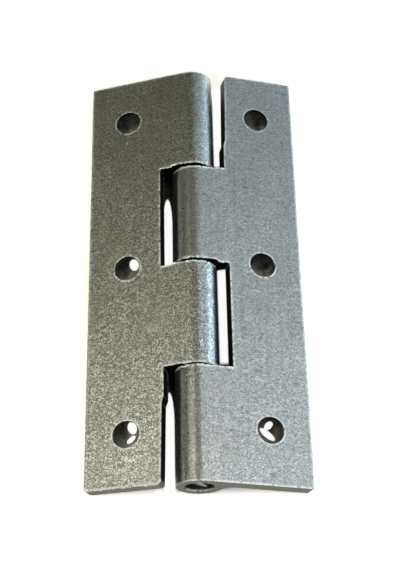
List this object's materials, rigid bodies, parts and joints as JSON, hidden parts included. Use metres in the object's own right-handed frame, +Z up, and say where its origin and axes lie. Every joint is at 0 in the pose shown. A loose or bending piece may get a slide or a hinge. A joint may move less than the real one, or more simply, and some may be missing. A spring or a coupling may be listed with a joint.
{
  "type": "butt hinge",
  "caption": "Narrow metal butt hinge with four interleaved knuckles on a plain pin, leaves part open, three sunk screw holes in each.",
  "frame": {"origin": "on the surface that the hinge lies on, under the middle of the barrel", "axes": "+X across the leaves towards the one that holds the pin fast, +Y along the pin away from the pin's tight end, +Z up from the surface"},
  "size_m": [0.0476, 0.1006, 0.0095],
  "materials": {
    "leaf_steel": "raw rolled steel, satin",
    "pin_steel": "drawn steel, dull"
  },
  "bodies": {
    "left_side": {"left_leaf": "leaf_steel"},
    "right_side": {"right_leaf": "leaf_steel", "hinge_pin": "pin_steel"}
  },
  "joints": [
    {"name": "leaf_turn", "type": "hinge", "parent": "left_side", "child": "right_side", "pos_m": [0, 0, 0.00475], "axis": [0, 1, 0], "range_deg": [-133, 155]}
  ]
}
